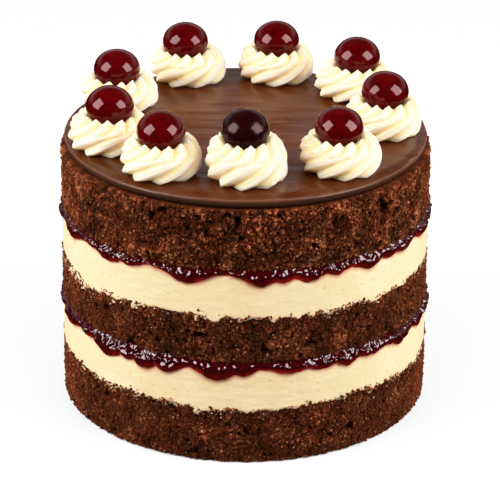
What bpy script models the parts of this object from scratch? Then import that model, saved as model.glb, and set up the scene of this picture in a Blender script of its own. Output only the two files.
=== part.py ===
"""Black forest cake: three chocolate sponges parted by cream and cherry jam, a ganache lid, and a ring of
nine piped cream swirls that each hold a cherry. Metres, +Z up, origin at the centre of the underside, front
towards -Y.
"""

from math import cos, degrees, exp, pi, radians, sin
from random import Random

import bmesh
import bpy

# Cake body
CAKE_RADIUS = 0.0904  # side of the bottom sponge at the base
TAPER = 0.0062  # how much the radius shrinks for each metre of height
GAP = 0.0003  # clearance between pieces that touch
SPONGE_BOTTOM_THICK = 0.0287
CREAM_LOWER_THICK = 0.0212
JAM_LOWER_THICK = 0.0030
SPONGE_MIDDLE_THICK = 0.0229
CREAM_UPPER_THICK = 0.0202
JAM_UPPER_THICK = 0.0033
SPONGE_TOP_THICK = 0.0287
GANACHE_THICK = 0.0058
SPONGE_BEVEL = 0.0015
SPONGE_WAVE = 0.0005  # how far the baked side wanders in and out
CREAM_BEVEL = 0.0008
CREAM_RECESS = 0.0012  # the cream's top edge lies this far inside the sponge, under the jam
LOWER_SHOULDER = 0.0087  # depth of that set-back edge, a little more than the longest run of jam
UPPER_SHOULDER = 0.0071
GANACHE_RECESS = 0.0012
GANACHE_ROUNDING = 0.75  # share of its thickness that the round edge takes

# Jam that has run down over the cream: (bearing from the front and half width in degrees, drop in metres)
JAM_PROUD = 0.0011  # how far it stands out from the side
JAM_LIP = 0.0012  # roundness of its edge, and the least that it hangs over
UPPER_RUNS = (
    (-66, 6, 0.0044), (-45, 6, 0.0043), (-37, 5, 0.0023), (-17, 7, 0.0046), (5, 6, 0.0050), (11, 5, 0.0032),
    (20, 5, 0.0044), (29, 4, 0.0032), (41, 5, 0.0045), (49, 5, 0.0030), (57, 5, 0.0043),
)
LOWER_RUNS = (
    (-69, 8, 0.0037), (-57, 6, 0.0024), (-46, 6, 0.0066), (-38, 5, 0.0039), (-31, 5, 0.0061),
    (-24, 5, 0.0052),
    (-8, 6, 0.0057), (0, 4, 0.0036), (14, 8, 0.0032), (24, 6, 0.0028), (33, 4, 0.0040), (43, 6, 0.0031),
)
HIDDEN_RUNS = 17  # runs spread over the rest of the circumference
HIDDEN_STRAY = 3  # degrees that one of them may lie off its even place
HIDDEN_HALF_WIDTHS = (4, 8)
HIDDEN_DROPS = (0.0018, 0.0050)
UPPER_SEED = 5
LOWER_SEED = 11

# Piped swirls and cherries
SWIRL_RADIUS = 0.0192  # widest reach of a ridge
SWIRL_HEIGHT = 0.0175  # top of the ridges above the ganache
RIDGES = 10
CHERRY_RADIUS = 0.0115
CHERRY_HALF_HEIGHT = 0.0098
CHERRY_LIFT = 0.0200  # centre of the cherry above the ganache
SEAT_GAP = 0.0005  # faceted seat and faceted cherry stay clear of each other

# Place of each swirl (x, y), the turn of its ridges in degrees, its height against SWIRL_HEIGHT, and how far
# its top and its cherry lean to the right
SWIRLS = {
    "front": (0.0008, -0.0632, -6, 1.18, -0.0009),
    "front_right": (0.0446, -0.0512, 4, 1.02, -0.0009),
    "right": (0.0660, -0.0028, -14, 1.01, 0.0012),
    "right_back": (0.0533, 0.0490, 9, 0.96, 0.0021),
    "back": (0.0152, 0.0725, -3, 0.96, 0.0),
    "back_left": (-0.0295, 0.0690, 15, 0.97, -0.0016),
    "left_back": (-0.0625, 0.0324, -9, 0.89, -0.0016),
    "left": (-0.0655, -0.0248, 7, 1.00, 0.0009),
    "front_left": (-0.0392, -0.0566, 0, 0.99, 0.0),
}

# Crest of a ridge from the base to its peak: (share of the height, share of the radius, depth of the groove)
SWIRL_PROFILE = (
    (0.00, 0.90, 0.0046),
    (0.10, 0.97, 0.0044),
    (0.32, 1.00, 0.0036),
    (0.55, 0.98, 0.0032),
    (0.74, 0.92, 0.0030),
    (0.89, 0.80, 0.0024),
    (1.00, 0.66, 0.0012),
)
LOW_TWIST = 4.9  # degrees that a ridge turns for each millimetre of rise, low down
HIGH_TWIST = 8.0  # and close to the peak
TWIST_CHANGE = 0.62  # share of the height where the one gives way to the other
GROOVE_DROP = 0.0030  # how far the rim dips between two peaks
SEAT_RINGS = (0.70, 0.40, 0)  # rings of the cherry's seat, from near the rim (1) down to its middle (0)

ROUND = 40  # facets round a sponge or cream layer
GANACHE_ROUND = 60
JAM_ROUND = 96
CHERRY_ROUND = 12
CHERRY_RINGS = 8
WELD = 1e-6

COLOURS = {
    "sponge": ((0.085, 0.030, 0.015, 1.0), 0.95),
    "cream": ((0.890, 0.760, 0.480, 1.0), 0.55),
    "jam": ((0.090, 0.003, 0.008, 1.0), 0.12),
    "ganache": ((0.105, 0.040, 0.022, 1.0), 0.32),
    "swirl": ((0.950, 0.880, 0.680, 1.0), 0.50),
    "cherry": ((0.160, 0.002, 0.006, 1.0), 0.08),
}


def clear_scene():
    for thing in list(bpy.data.objects):
        bpy.data.objects.remove(thing, do_unlink=True)


def finish(name, finish_name):
    """A material of the piece's own, with the colour and roughness of its kind."""
    colour, roughness = COLOURS[finish_name]
    material = bpy.data.materials.new(name)
    material.use_nodes = True
    shader = material.node_tree.nodes["Principled BSDF"]
    shader.inputs["Base Color"].default_value = colour
    shader.inputs["Roughness"].default_value = roughness
    shader.inputs["Metallic"].default_value = 0.0
    return material


def wrapped_body(name, finish_name, around, along, place):
    """A closed body whose skin is a grid wrapped round the Z axis, with place(turn, step) for its points."""
    bm = bmesh.new()
    bmesh.ops.create_grid(bm, x_segments=around, y_segments=along, size=0.5)
    for vert in bm.verts:
        turn = round((vert.co.x + 0.5) * around) % around * 2 * pi / around
        vert.co = place(turn, round((vert.co.y + 0.5) * along))
    bmesh.ops.remove_doubles(bm, verts=bm.verts, dist=WELD)
    bmesh.ops.recalc_face_normals(bm, faces=bm.faces)
    mesh = bpy.data.meshes.new(name)
    bm.to_mesh(mesh)
    bm.free()
    mesh.shade_smooth()
    mesh.set_sharp_from_angle(angle=radians(50))
    mesh.materials.append(finish(name, finish_name))
    piece = bpy.data.objects.new(name, mesh)
    bpy.context.scene.collection.objects.link(piece)
    return piece


def turned_disc(name, finish_name, around, profile, wave=0.0):
    """A disc turned from (radius, height) points, from the middle of the underside to that of the top."""

    def place(turn, step):
        radius, height = profile[step]
        if radius:
            radius += wave * (sin(3 * turn + 90 * height) + sin(7 * turn + 0.9)) / 2
        return radius * sin(turn), -radius * cos(turn), height

    return wrapped_body(name, finish_name, around, len(profile) - 1, place)


def side_radius(height):
    return CAKE_RADIUS - TAPER * height


def sponge(name, low, thick):
    high = low + thick
    profile = (
        (0, low),
        (side_radius(low) - SPONGE_BEVEL, low),
        (side_radius(low), low + SPONGE_BEVEL),
        (side_radius(high), high - SPONGE_BEVEL),
        (side_radius(high) - SPONGE_BEVEL, high),
        (0, high),
    )
    return turned_disc(name, "sponge", ROUND, profile, SPONGE_WAVE)


def cream(name, low, thick, shoulder_depth):
    """A band of cream, set back at its top where the jam runs down over it."""
    high = low + thick
    side = side_radius(low)
    shoulder = high - shoulder_depth
    profile = (
        (0, low),
        (side - CREAM_BEVEL, low),
        (side, low + CREAM_BEVEL),
        (side, shoulder - CREAM_RECESS),
        (side - CREAM_RECESS, shoulder),
        (side - CREAM_RECESS, high),
        (0, high),
    )
    return turned_disc(name, "cream", ROUND, profile)


def all_runs(front_runs, seed):
    """The runs at the front, then others of like size round the rest of the cake."""
    draw = Random(seed)
    first = front_runs[-1][0]
    last = front_runs[0][0] + 360
    step = (last - first) / (HIDDEN_RUNS + 1)
    runs = list(front_runs)
    for i in range(HIDDEN_RUNS):
        bearing = first + step * (i + 1) + draw.uniform(-HIDDEN_STRAY, HIDDEN_STRAY)
        runs.append((bearing, draw.uniform(*HIDDEN_HALF_WIDTHS), draw.uniform(*HIDDEN_DROPS)))
    return runs


def run_drop(bearing, runs):
    """How far the jam has run down at a bearing in degrees: the deepest of the runs that reach it."""
    drop = 0.0
    for centre, half_width, depth in runs:
        away = (bearing - centre + 180) % 360 - 180
        drop = max(drop, depth * exp(-((away / half_width) ** 2)))
    return drop


def jam(name, low, thick, runs):
    """A sheet of jam on the cream, whose edge hangs down over the cream's side in runs."""
    high = low + thick
    inner = side_radius(low) - CREAM_RECESS + 2 * GAP
    outer = side_radius(low) + JAM_PROUD

    def place(turn, step):
        foot = low - JAM_LIP - run_drop(degrees(turn), runs)
        radius, height = (
            (0, low),
            (inner, low),
            (inner, foot + JAM_LIP / 2),
            ((inner + outer) / 2, foot),
            (outer, foot + JAM_LIP),
            (outer, high - JAM_LIP),
            (outer - JAM_LIP, high),
            (0, high),
        )[step]
        return radius * sin(turn), -radius * cos(turn), height

    return wrapped_body(name, "jam", JAM_ROUND, 7, place)


def ganache(name, low, thick):
    """A poured lid with a full round edge."""
    high = low + thick
    side = side_radius(low) - GANACHE_RECESS
    curve = GANACHE_ROUNDING * thick
    profile = [(0, low), (side - curve / 4, low)]
    for angle in (0, pi / 6, pi / 3, pi / 2):
        profile.append((side - curve * (1 - cos(angle)), high - curve * (1 - sin(angle))))
    profile.append((0, high))
    return turned_disc(name, "ganache", GANACHE_ROUND, profile)


def twist(rise, height):
    """Degrees that a ridge has turned when it has risen this far."""
    change = TWIST_CHANGE * height
    return 1000 * (LOW_TWIST * min(rise, change) + HIGH_TWIST * max(rise - change, 0))


def crest_point(step, height):
    """A ridge's reach, rise and turn at a step of the profile."""
    rise_share, reach_share, _ = SWIRL_PROFILE[step]
    rise = rise_share * height
    return reach_share * SWIRL_RADIUS, rise, twist(rise, height)


def groove_point(step, height):
    """The same for the groove beside it, which lies deeper and, near the rim, lower."""
    rise_share, _, depth = SWIRL_PROFILE[step]
    reach, rise, bend = crest_point(step, height)
    return reach - depth, rise - GROOVE_DROP * max(2 * rise_share - 1, 0), bend


def seat_point(share, lift):
    """A point of the seat that the cherry leaves in the cream."""
    reach = CHERRY_RADIUS + SEAT_GAP
    depth = CHERRY_HALF_HEIGHT + SEAT_GAP
    angle = share * pi / 2
    return reach * sin(angle), lift - depth * cos(angle)


def swirl(name, base, x, y, turned, stretch, lean):
    """Cream piped through a star nozzle: ridges that start as tongues on the ganache, wind up and end in
    peaks. Its top leans sideways with the cherry."""
    height = SWIRL_HEIGHT * stretch
    lift = CHERRY_LIFT * stretch
    outside = len(SWIRL_PROFILE)

    def place(turn, step):
        on_crest = round(turn * RIDGES / pi) % 2 == 0
        if step == 0:
            reach, rise, bend = 0, 0, 0
        elif step > outside:
            reach, rise = seat_point(SEAT_RINGS[step - outside - 1], lift)
            bend = twist(height, height)
        elif on_crest:
            reach, rise, bend = crest_point(step - 1, height)
        else:
            reach, rise, bend = groove_point(step - 1, height)
        angle = turn + radians(bend + turned)
        middle = x + lean * (1 if step > outside else (rise / height) ** 2)
        return middle + reach * sin(angle), y - reach * cos(angle), base + rise

    return wrapped_body(name, "swirl", 2 * RIDGES, outside + len(SEAT_RINGS), place)


def cherry(name, base, x, y, stretch):
    """A preserved cherry, a little flatter than a ball, that stands in the seat of its swirl."""
    centre = base + CHERRY_LIFT * stretch

    def place(turn, step):
        angle = pi * step / CHERRY_RINGS
        reach = CHERRY_RADIUS * sin(angle)
        if step in (0, CHERRY_RINGS):
            reach = 0
        return x + reach * sin(turn), y - reach * cos(turn), centre - CHERRY_HALF_HEIGHT * cos(angle)

    return wrapped_body(name, "cherry", CHERRY_ROUND, CHERRY_RINGS, place)


def main():
    clear_scene()
    level = 0.0
    sponge("sponge_bottom", level, SPONGE_BOTTOM_THICK)
    level += SPONGE_BOTTOM_THICK + GAP
    cream("cream_lower", level, CREAM_LOWER_THICK, LOWER_SHOULDER)
    level += CREAM_LOWER_THICK + GAP
    jam("jam_lower", level, JAM_LOWER_THICK, all_runs(LOWER_RUNS, LOWER_SEED))
    level += JAM_LOWER_THICK + GAP
    sponge("sponge_middle", level, SPONGE_MIDDLE_THICK)
    level += SPONGE_MIDDLE_THICK + GAP
    cream("cream_upper", level, CREAM_UPPER_THICK, UPPER_SHOULDER)
    level += CREAM_UPPER_THICK + GAP
    jam("jam_upper", level, JAM_UPPER_THICK, all_runs(UPPER_RUNS, UPPER_SEED))
    level += JAM_UPPER_THICK + GAP
    sponge("sponge_top", level, SPONGE_TOP_THICK)
    level += SPONGE_TOP_THICK + GAP
    ganache("ganache", level, GANACHE_THICK)
    level += GANACHE_THICK + GAP
    for where, (x, y, turned, stretch, lean) in SWIRLS.items():
        swirl("rosette_" + where, level, x, y, turned, stretch, lean)
        cherry("cherry_" + where, level, x + lean, y, stretch)


main()
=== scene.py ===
"""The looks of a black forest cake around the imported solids: crumb, cream, jam, ganache, swirls and cherries.
Metres, +Z up, front towards -Y. A bearing is an angle from the front in degrees and a turn is one in radians,
both positive towards +X.
"""

from math import atan2, cos, degrees, exp, pi, radians, sin, sqrt
from random import Random

import bmesh
import bpy
from bpy.props import FloatProperty, FloatVectorProperty, IntProperty, PointerProperty
from mathutils import Matrix, Vector, noise


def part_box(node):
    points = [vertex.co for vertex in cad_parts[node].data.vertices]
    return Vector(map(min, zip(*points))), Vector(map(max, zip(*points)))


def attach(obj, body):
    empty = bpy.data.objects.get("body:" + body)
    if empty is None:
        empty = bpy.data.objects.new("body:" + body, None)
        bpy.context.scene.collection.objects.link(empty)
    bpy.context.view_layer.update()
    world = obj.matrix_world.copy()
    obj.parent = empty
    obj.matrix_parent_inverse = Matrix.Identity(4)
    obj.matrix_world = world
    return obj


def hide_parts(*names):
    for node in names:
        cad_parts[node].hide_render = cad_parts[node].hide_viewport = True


bl_info = {
    "name": "Black Forest Cake",
    "version": (1, 0, 0),
    "blender": (4, 5, 0),
    "location": "3D View > Sidebar > Cake",
    "description": "Builds the crumb, cream, jam, ganache, swirls and cherries of a black forest cake",
    "category": "Add Mesh",
}

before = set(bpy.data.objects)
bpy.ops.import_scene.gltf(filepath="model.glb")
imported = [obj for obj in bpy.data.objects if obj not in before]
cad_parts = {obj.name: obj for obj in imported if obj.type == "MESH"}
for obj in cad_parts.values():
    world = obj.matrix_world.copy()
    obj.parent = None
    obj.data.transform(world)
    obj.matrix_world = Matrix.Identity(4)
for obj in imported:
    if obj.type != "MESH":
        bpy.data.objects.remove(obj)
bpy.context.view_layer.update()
BOXES = {node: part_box(node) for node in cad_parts}
BODY = "root"

WELD = 1e-6
MM = 0.001


def layer_box(node):
    """(underside, top, radius) of a layer of the cake."""
    low, high = BOXES[node]
    return low.z, high.z, (high.x - low.x) / 2


# ---------------------------------------------------------------- settings

COLOUR = {"subtype": "COLOR", "size": 4}


class CakeSizes(bpy.types.PropertyGroup):
    crumb_step: FloatProperty(
        name="Crumb Step", description="Grid step of the sponge's side", default=0.00046, unit="LENGTH"
    )
    crumb_relief: FloatProperty(
        name="Crumb Relief", description="Height of the lumps of crumb", default=0.0011, unit="LENGTH"
    )
    pore_depth: FloatProperty(
        name="Pore Depth", description="Depth of the sponge's larger pores", default=0.0026, unit="LENGTH"
    )
    groove_drop: FloatProperty(
        name="Groove Drop", description="Dip of a swirl's rim between peaks", default=0.0031, unit="LENGTH"
    )
    rim_curve: FloatProperty(
        name="Rim Curve", description="Radius of the ganache's upper edge", default=0.0009, unit="LENGTH"
    )
    rim_drop: FloatProperty(
        name="Rim Drop", description="Slope of the ganache down to its edge", default=0.0012, unit="LENGTH"
    )
    jam_swell: FloatProperty(
        name="Jam Swell", description="How far jam stands out of the side", default=0.0013, unit="LENGTH"
    )
    side_crumbs: IntProperty(name="Side Crumbs", description="Crumbs standing out of a sponge", default=5000)
    loose_crumbs: IntProperty(name="Loose Crumbs", description="Crumbs stuck to the cream", default=850)
    flecks: IntProperty(name="Cream Flecks", description="Flecks of cream caught in the crumb", default=1900)


class CakeColours(bpy.types.PropertyGroup):
    sponge: FloatVectorProperty(
        name="Sponge", description="Crumb in the light", default=(0.170, 0.0410, 0.0150, 1), **COLOUR
    )
    sponge_mid: FloatVectorProperty(
        name="Sponge Shade", description="Crumb between", default=(0.066, 0.0155, 0.0052, 1), **COLOUR
    )
    # painted shade: the colour at the bottom of the pores stands for the shade in them
    sponge_pore_shade: FloatVectorProperty(
        name="Sponge Pores", description="Crumb in its pores", default=(0.006, 0.0014, 0.0005, 1), **COLOUR
    )
    cream: FloatVectorProperty(
        name="Cream", description="Cream between the sponges", default=(0.795, 0.607, 0.362, 1), **COLOUR
    )
    # painted shade: the colour of the small pits stands for the shade in them
    cream_pit_shade: FloatVectorProperty(
        name="Cream Pits", description="Small pits in the cream", default=(0.66, 0.46, 0.16, 1), **COLOUR
    )
    jam: FloatVectorProperty(
        name="Jam", description="Thick cherry jam", default=(0.032, 0.0008, 0.0014, 1), **COLOUR
    )
    jam_thin: FloatVectorProperty(
        name="Thin Jam", description="Jam where it is thin", default=(0.42, 0.0100, 0.0050, 1), **COLOUR
    )
    ganache: FloatVectorProperty(
        name="Ganache", description="Chocolate lid", default=(0.078, 0.0150, 0.0028, 1), **COLOUR
    )
    swirl: FloatVectorProperty(
        name="Swirl", description="Piped cream", default=(0.80, 0.655, 0.515, 1), **COLOUR
    )
    # painted light: the grooves are painted lighter and yellower, to lift and tint their shade
    swirl_groove_painted_light: FloatVectorProperty(
        name="Swirl Grooves", description="Depth of the grooves", default=(0.98, 0.79, 0.38, 1), **COLOUR
    )
    cherry: FloatVectorProperty(
        name="Cherry", description="Skin of the cherries", default=(0.060, 0.0004, 0.0008, 1), **COLOUR
    )
    cherry_black: FloatVectorProperty(
        name="Black Cherry", description="The darkest cherry", default=(0.011, 0.0009, 0.0014, 1), **COLOUR
    )


def sizes():
    return bpy.context.scene.cake_sizes


def colours():
    return bpy.context.scene.cake_colours


# ---------------------------------------------------------------- meshes


def mesh_piece(name, bm, material, stands_for):
    """Turns a bmesh into a finished piece on the cake's body, in place of the nodes that it stands for."""
    mesh = bpy.data.meshes.new(name)
    bm.to_mesh(mesh)
    bm.free()
    mesh.shade_smooth()
    mesh.materials.append(material)
    piece = bpy.data.objects.new(name, mesh)
    bpy.context.scene.collection.objects.link(piece)
    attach(piece, BODY)
    if stands_for:
        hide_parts(*stands_for)


def wrapped_grid(around, along, place, marks):
    """A closed skin made by wrapping a grid round the Z axis. place(turn, index) gives x, y, z and the value
    that is stored on the point under the name in marks. index counts rings, from 0 in the middle of the
    underside to along in the middle of the top."""
    bm = bmesh.new()
    bmesh.ops.create_grid(bm, x_segments=around, y_segments=along, size=0.5)
    mark = bm.verts.layers.float.new(marks)
    for vert in bm.verts:
        turn = round((vert.co.x + 0.5) * around) % around * 2 * pi / around
        x, y, z, value = place(turn, round((vert.co.y + 0.5) * along))
        vert.co = (x, y, z)
        vert[mark] = value
    bmesh.ops.remove_doubles(bm, verts=bm.verts, dist=WELD)
    bmesh.ops.recalc_face_normals(bm, faces=bm.faces)
    return bm


def wrapped_layer(around, rings, low, high, inner, side, marks, flat=(0, 0)):
    """The closed skin of a layer of the cake. Its underside and top are flat out to the radius inner, and
    side(turn, share) places the rings between them, as for wrapped_grid, from share 0 at the foot to 1 at the
    head. flat holds the mark's value in the middle of both flats and at their rims."""
    last = rings + 3

    def place(turn, index):
        level = low if index < 2 else high
        if index in (0, last):
            return 0, 0, level, flat[0]
        if index in (1, last - 1):
            return *ring_point(turn, inner), level, flat[1]
        return side(turn, (index - 2) / (rings - 1))

    return wrapped_grid(around, last, place, marks)


def ring_point(turn, reach):
    """x and y at a turn round the cake, this far from its axis."""
    return reach * sin(turn), -reach * cos(turn)


def lerp(a, b, share):
    return a + (b - a) * share


def smooth_step(low, high, value):
    share = min(max((value - low) / (high - low), 0.0), 1.0)
    return share * share * (3 - 2 * share)


def along_profile(points, share):
    """The values of (share, value, ...) points at a share, on a smooth curve through them."""
    for before, after in zip(points, points[1:]):
        if share <= after[0]:
            break
    part = min(max((share - before[0]) / (after[0] - before[0]), 0.0), 1.0)
    index = points.index(before)
    first = points[max(index - 1, 0)]
    last = points[min(index + 2, len(points) - 1)]
    values = []
    for a, b, c, d in zip(first[1:], before[1:], after[1:], last[1:]):
        slope = part * (c - a) / 2
        bend = part**2 * (a - 2.5 * b + 2 * c - d / 2)
        twist = part**3 * (1.5 * (b - c) + (d - a) / 2)
        values.append(b + slope + bend + twist)
    return values


def bump_noise(x, y, z, scale, octaves=3):
    """Noise from about -1 to 1 whose largest lumps are about this size."""
    return noise.fractal(Vector((x, y, z)) / scale, 1.0, 2.0, octaves)


def ring_noise(turn, salt, density, octaves):
    """Noise from about -1 to 1 that runs round the cake and meets itself. Another salt gives another ring."""
    return noise.fractal(Vector((sin(turn), cos(turn), salt)) * density, 1.0, 2.0, octaves)


# ---------------------------------------------------------------- materials


def new_material(name):
    """A new material, its node tree and its shader."""
    material = bpy.data.materials.new(name)
    material.use_nodes = True
    return material, material.node_tree, material.node_tree.nodes["Principled BSDF"]


def feed(tree, node, values):
    """Sets a node's inputs, named or numbered, each to a plain value or to the socket that drives it."""
    for key, value in values.items():
        if isinstance(value, bpy.types.NodeSocket):
            tree.links.new(value, node.inputs[key])
        else:
            node.inputs[key].default_value = value


def add_span(tree, value, low, high, bottom=0.0, top=1.0):
    """A value that runs from bottom to top while another runs from low to high."""
    span = tree.nodes.new("ShaderNodeMapRange")
    feed(tree, span, {"Value": value, "From Min": low, "From Max": high, "To Min": bottom, "To Max": top})
    return span.outputs["Result"]


def mottle_group():
    """The shader group that every finish of the cake uses for its unevenness: noise that can be stretched,
    with its raw Height and a Mask that runs from 0 at Low to 1 at High."""
    group = bpy.data.node_groups.get("mottle")
    if group:
        return group
    group = bpy.data.node_groups.new("mottle", "ShaderNodeTree")
    face = group.interface
    face.new_socket("Stretch", in_out="INPUT", socket_type="NodeSocketVector")
    for name in ("Scale", "Detail", "Roughness", "Low", "High"):
        face.new_socket(name, in_out="INPUT", socket_type="NodeSocketFloat")
    for name in ("Mask", "Height"):
        face.new_socket(name, in_out="OUTPUT", socket_type="NodeSocketFloat")
    given = group.nodes.new("NodeGroupInput").outputs
    place = group.nodes.new("ShaderNodeTexCoord").outputs["Object"]
    stretch = group.nodes.new("ShaderNodeVectorMath")
    stretch.operation = "MULTIPLY"
    feed(group, stretch, {0: place, 1: given["Stretch"]})
    texture = group.nodes.new("ShaderNodeTexNoise")
    feed(group, texture, {"Vector": stretch.outputs["Vector"]})
    feed(group, texture, {name: given[name] for name in ("Scale", "Detail", "Roughness")})
    height = texture.outputs["Fac"]
    mask = add_span(group, height, given["Low"], given["High"])
    feed(group, group.nodes.new("NodeGroupOutput"), {"Mask": mask, "Height": height})
    return group


def add_mottle(tree, lump, low=0.35, high=0.65, detail=3.0, roughness=0.55, stretch=(1, 1, 1)):
    """The mottle group with lumps of this size in metres. Its outputs are Mask and Height."""
    node = tree.nodes.new("ShaderNodeGroup")
    node.node_tree = mottle_group()
    feed(tree, node, {"Stretch": stretch, "Scale": 1 / lump, "Detail": detail, "Roughness": roughness})
    feed(tree, node, {"Low": low, "High": high})
    return node.outputs


def add_ramp(tree, source, stops):
    """A colour ramp over (position, colour) stops."""
    ramp = tree.nodes.new("ShaderNodeValToRGB")
    elements = ramp.color_ramp.elements
    while len(elements) < len(stops):
        elements.new(0.5)
    for element, (position, colour) in zip(elements, stops):
        element.position = position
        element.color = colour
    feed(tree, ramp, {"Fac": source})
    return ramp.outputs["Color"]


def grey(value):
    return (value, value, value, 1.0)


def shaded(colour, share):
    """A colour made this many times as light."""
    return [share * c for c in colour[:3]] + [1]


def add_mix(tree, share, first, second, blend="MIX"):
    """Mixes two colours, each a socket or a plain colour."""
    mix = tree.nodes.new("ShaderNodeMix")
    mix.data_type = "RGBA"
    mix.blend_type = blend
    feed(tree, mix, {0: share, 6: first, 7: second})
    return mix.outputs[2]


def add_bump(tree, height, distance, strength, normal=None):
    """A bump of this distance in metres, on top of another one if normal gives it."""
    bump = tree.nodes.new("ShaderNodeBump")
    feed(tree, bump, {"Strength": strength, "Distance": distance, "Height": height})
    if normal:
        feed(tree, bump, {"Normal": normal})
    return bump.outputs["Normal"]


def add_attribute(tree, name):
    attribute = tree.nodes.new("ShaderNodeAttribute")
    attribute.attribute_name = name
    return attribute.outputs["Fac"]


# painted highlight: the crumb that stands out furthest is painted lighter, as if it caught the light
CRUMB_PEAK_HIGHLIGHT = (0.42, 0.145, 0.066, 1)  # crumb that stands out furthest
CRUMB_GLINT = (0.60, 0.36, 0.24, 1)  # a moist grain that catches the light
CRUMB_FUZZ = (0.60, 0.14, 0.045, 1)  # light caught from the side
CRUMB_DAMP = (0.60, 0.72, 0.66)  # tints of the damp patches and of the dry ones
CRUMB_DRY = (1.28, 1.13, 1.04)


def sponge_material(name, shade, fuzz):
    """Porous crumb: pores with painted shade, lumps with a painted highlight, a fine mottle that is partly its
    own and partly painted shade and light on its bumps, and patches that differ. shade is how light it is
    baked, and fuzz how much its loose crumb catches light from the side."""
    material, tree, shader = new_material(name)
    painted_shade_to_highlight = (
        (0.0, colours().sponge_pore_shade),
        (0.44, colours().sponge_mid),
        (0.72, colours().sponge),
        (1.0, CRUMB_PEAK_HIGHLIGHT),
    )
    # partly the crumb's own mottle, partly painted shade in the low spots and painted light on the high spots
    # of the same noise that makes its bumps
    grains = ((0.0, grey(0.12)), (0.45, grey(0.70)), (0.75, grey(1.32)), (1.0, grey(2.5)))
    grain_with_painted_shade = add_mottle(tree, 0.0010, 0.30, 0.72, 5, 0.72)
    patch = add_mottle(tree, 0.011, 0.36, 0.64)
    speck_with_painted_shade = add_mottle(tree, 0.0006, 0.34, 0.66, 2)
    glint = add_mottle(tree, 0.0012, 0.73, 0.79, 1)
    # the relief mark picks painted shade for the pores and a painted highlight for the crumb that stands out
    base = add_ramp(tree, add_attribute(tree, "relief"), painted_shade_to_highlight)
    light = add_ramp(tree, grain_with_painted_shade["Mask"], grains)
    specks = add_mix(tree, speck_with_painted_shade["Mask"], grey(0.38), grey(1.80))
    tint = add_mix(tree, patch["Mask"], shaded(CRUMB_DAMP, shade), shaded(CRUMB_DRY, shade))
    colour = add_mix(tree, 1.0, base, light, "MULTIPLY")
    colour = add_mix(tree, 1.0, colour, specks, "MULTIPLY")
    colour = add_mix(tree, 1.0, colour, tint, "MULTIPLY")
    normal = add_bump(tree, grain_with_painted_shade["Height"], 0.0010, 0.8)
    looks = {
        "Base Color": add_mix(tree, glint["Mask"], colour, CRUMB_GLINT),
        "Roughness": 0.75,
        "Diffuse Roughness": 1.0,
        "Sheen Weight": fuzz,
        "Sheen Roughness": 0.5,
        "Sheen Tint": CRUMB_FUZZ,
        "Specular IOR Level": 0.02,
        "Normal": add_bump(tree, speck_with_painted_shade["Height"], 0.0004, 0.6, normal),
    }
    feed(tree, shader, looks)
    return material


CREAM_TINTS = ((0.97, 0.94, 0.90, 1), (1.02, 1.02, 1.04, 1))  # of its patches
CREAM_STAIN = (0.46, 0.085, 0.030, 1)  # jam or crumb rubbed into the cream


def cream_material(name):
    """Smooth buttery cream with small pits painted darker and yellower as their shade, and a stain where jam or
    crumb has rubbed off.
    """
    material, tree, shader = new_material(name)
    patch = add_mottle(tree, 0.020)
    streak = add_mottle(tree, 0.011, detail=4, stretch=(1, 1, 4))
    pit_shade = add_mottle(tree, 0.0028, 0.70, 0.76, 1, 0.4, (1, 1, 1.9))
    tint = add_mix(tree, patch["Mask"], *CREAM_TINTS)
    colour = add_mix(tree, 1.0, colours().cream, tint, "MULTIPLY")
    # painted shade of small pits, without any pit in the surface
    colour = add_mix(tree, pit_shade["Mask"], colour, colours().cream_pit_shade)
    looks = {
        "Base Color": add_mix(tree, add_attribute(tree, "stain"), colour, CREAM_STAIN),
        "Roughness": 0.5,
        "Specular IOR Level": 0.25,
        "Subsurface Weight": 0.2,
        "Subsurface Radius": (1.0, 0.7, 0.35),
        "Subsurface Scale": 0.0015,
        "Normal": add_bump(tree, streak["Height"], 0.0010, 0.35),
    }
    feed(tree, shader, looks)
    return material


def jam_material(name):
    """Cherry jam: near black where it is thick, bright red where it is thin, and wet."""
    material, tree, shader = new_material(name)
    lump = add_mottle(tree, 0.0022, detail=1, roughness=0.35)
    looks = {
        "Base Color": add_mix(tree, add_attribute(tree, "thin"), colours().jam, colours().jam_thin),
        "Roughness": 0.05,
        "IOR": 1.72,
        "Specular Tint": (1.0, 0.88, 0.91, 1),
        "Subsurface Weight": 0.15,
        "Subsurface Radius": (1.0, 0.1, 0.1),
        "Subsurface Scale": 0.0015,
        "Normal": add_bump(tree, lump["Height"], 0.0012, 0.30),
    }
    feed(tree, shader, looks)
    return material


GANACHE_TINTS = ((0.86, 0.84, 0.88, 1), (1.10, 1.07, 1.08, 1))  # of the strokes of the knife
# From the flat top, over the slope beside the edge painted a little lighter, a painted highlight along the
# edge, and painted shade that darkens down the wall to its foot
GANACHE_EDGE_PAINTED_LIGHT_AND_SHADE = (
    (0.12, (0.062, 0.0115, 0.0020, 1)),
    (0.22, (0.075, 0.018, 0.0050, 1)),
    (0.28, (0.16, 0.060, 0.038, 1)),
    (0.37, (0.082, 0.029, 0.015, 1)),
    (0.60, (0.050, 0.017, 0.0085, 1)),
    (1.0, (0.020, 0.006, 0.0032, 1)),
)


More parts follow.
